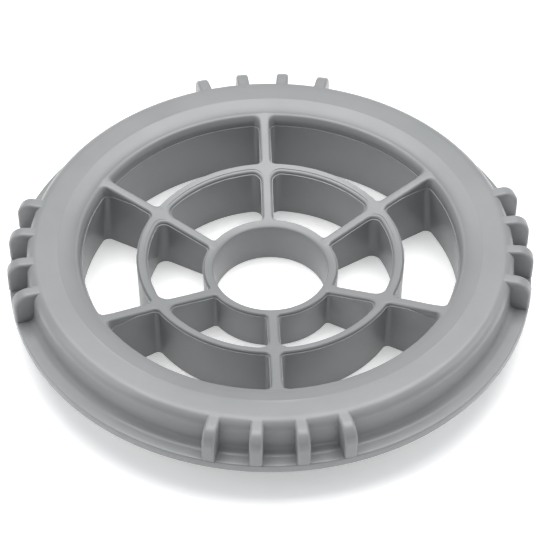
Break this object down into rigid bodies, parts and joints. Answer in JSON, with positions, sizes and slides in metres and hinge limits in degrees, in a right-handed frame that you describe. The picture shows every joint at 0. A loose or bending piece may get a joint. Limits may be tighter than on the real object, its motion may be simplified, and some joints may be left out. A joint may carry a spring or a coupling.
{
  "type": "dishwasher ring nut",
  "caption": "Moulded plastic ring nut with a dished drain grille, a threaded channel behind a flat crown, and grip ribs in groups round a thin flange.",
  "frame": {"origin": "centre of the flat bottom of the grille, on the nut's axis", "axes": "+Z along the nut's axis, from the bottom of the grille towards the flat crown; -Y towards the front group of grip ribs, +X towards the right-hand group"},
  "size_m": [0.0652, 0.0652, 0.0104],
  "materials": {
    "grey_plastic": "semi-gloss moulded polypropylene, mid grey"
  },
  "bodies": {
    "root": {"ring_nut": "grey_plastic"}
  },
  "joints": []
}
